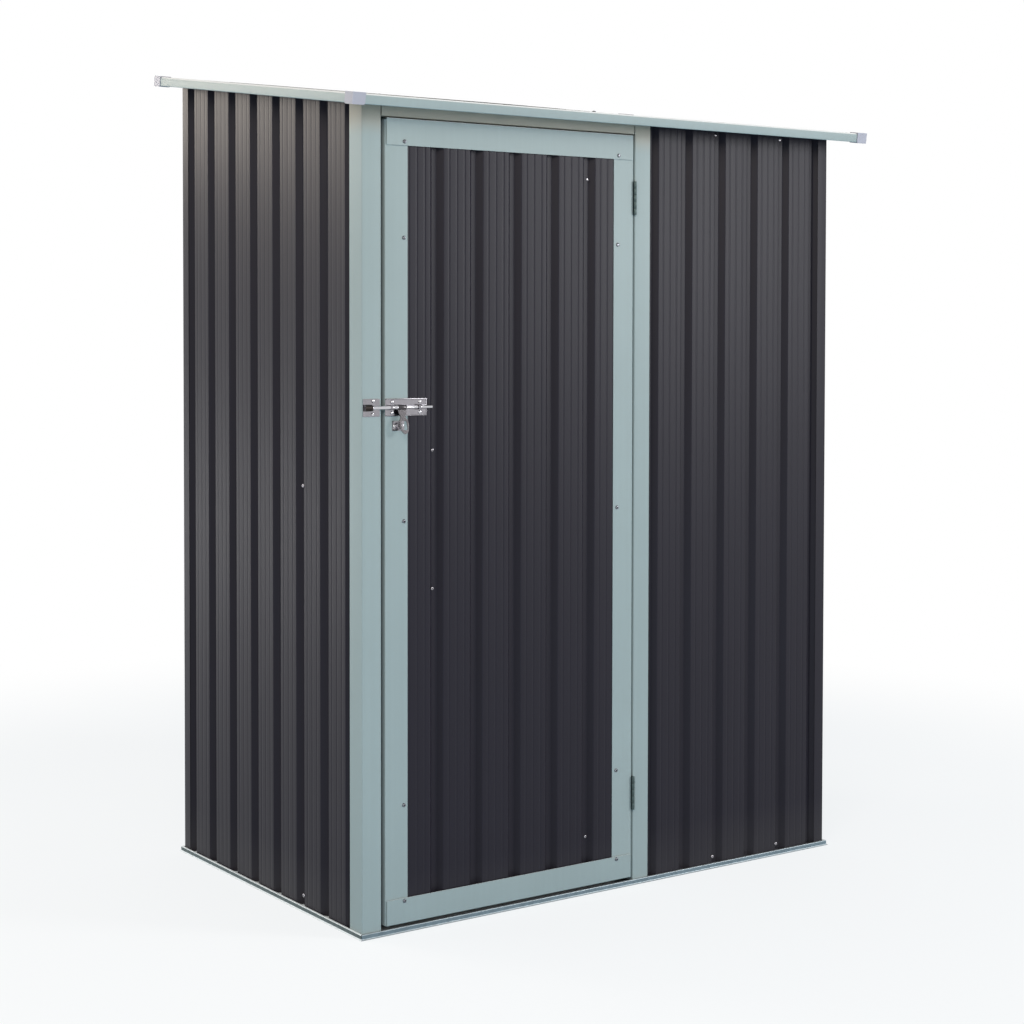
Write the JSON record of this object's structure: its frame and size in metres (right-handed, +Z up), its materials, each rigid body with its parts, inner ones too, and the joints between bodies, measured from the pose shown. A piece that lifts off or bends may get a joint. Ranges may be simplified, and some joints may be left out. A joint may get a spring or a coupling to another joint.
{
  "type": "lean-to metal storage shed",
  "caption": "Lean-to garden shed of dark ribbed steel sheet with pale trims, a hinged ribbed door, a sliding bolt with padlock hasp, and a roof falling to the front.",
  "frame": {"origin": "middle of the shed's overall box at ground level, under the base rails", "axes": "+X to the right seen from the front, +Y to the back where the roof is high, +Z up"},
  "size_m": [1.43, 0.8822, 1.8296],
  "materials": {
    "sheet_dark": "coil-coated ribbed steel sheet, satin anthracite",
    "trim_light": "coil-coated steel section, satin pale grey-blue",
    "galvanised": "galvanised steel section, dull grey",
    "cap_pale": "injection-moulded corner cap, pale lilac grey",
    "zinc": "bright zinc-plated steel hardware",
    "zinc_dark": "zinc-plated pressed steel, dark passivated"
  },
  "bodies": {
    "shed": {"base_rail_front": "galvanised", "base_rail_back": "galvanised", "base_rail_left": "galvanised", "base_rail_right": "galvanised", "corner_post": "trim_light", "door_jamb": "trim_light", "door_header": "trim_light", "left_wall_sheet": "sheet_dark", "right_wall_sheet": "sheet_dark", "front_wall_sheet": "sheet_dark", "back_wall_sheet_left": "sheet_dark", "back_wall_sheet_right": "sheet_dark", "front_top_rail": "galvanised", "back_top_rail": "galvanised", "left_top_rail": "galvanised", "right_top_rail": "galvanised", "left_wall_brace": "galvanised", "right_wall_brace": "galvanised", "back_wall_brace": "galvanised", "roof_sheet_left": "sheet_dark", "roof_sheet_right": "sheet_dark", "roof_trim_front": "trim_light", "roof_trim_back": "trim_light", "roof_trim_left": "trim_light", "roof_trim_right": "trim_light", "roof_cap_front_left": "cap_pale", "roof_cap_front_right": "cap_pale", "roof_cap_back_left": "cap_pale", "roof_cap_back_right": "cap_pale", "frame_hinge_leaves": "zinc_dark", "bolt_keeper": "zinc"},
    "door": {"door_sheet": "sheet_dark", "door_stile_left": "trim_light", "door_stile_right": "trim_light", "door_rail_top": "trim_light", "door_rail_bottom": "trim_light", "door_brace_upper": "galvanised", "door_brace_lower": "galvanised", "door_hinge_leaves": "zinc_dark", "bolt_plate": "zinc", "hasp_staple": "zinc"},
    "bolt": {"bolt_rod": "zinc"},
    "hasp": {"padlock_hasp": "zinc"}
  },
  "joints": [
    {"name": "door_swing", "type": "hinge", "parent": "shed", "child": "door", "pos_m": [0.0565, -0.37661, 0.87], "axis": [0, 0, 1], "range_deg": [0, 160]},
    {"name": "bolt_slide", "type": "slide", "parent": "door", "child": "bolt", "axis": [-1, 0, 0], "range_m": [-0.028, 0.0075]},
    {"name": "hasp_turn", "type": "hinge", "parent": "bolt", "child": "hasp", "pos_m": [-0.5625, -0.38051, 1.078], "axis": [-1, 0, 0], "range_deg": [-16, 112]}
  ]
}
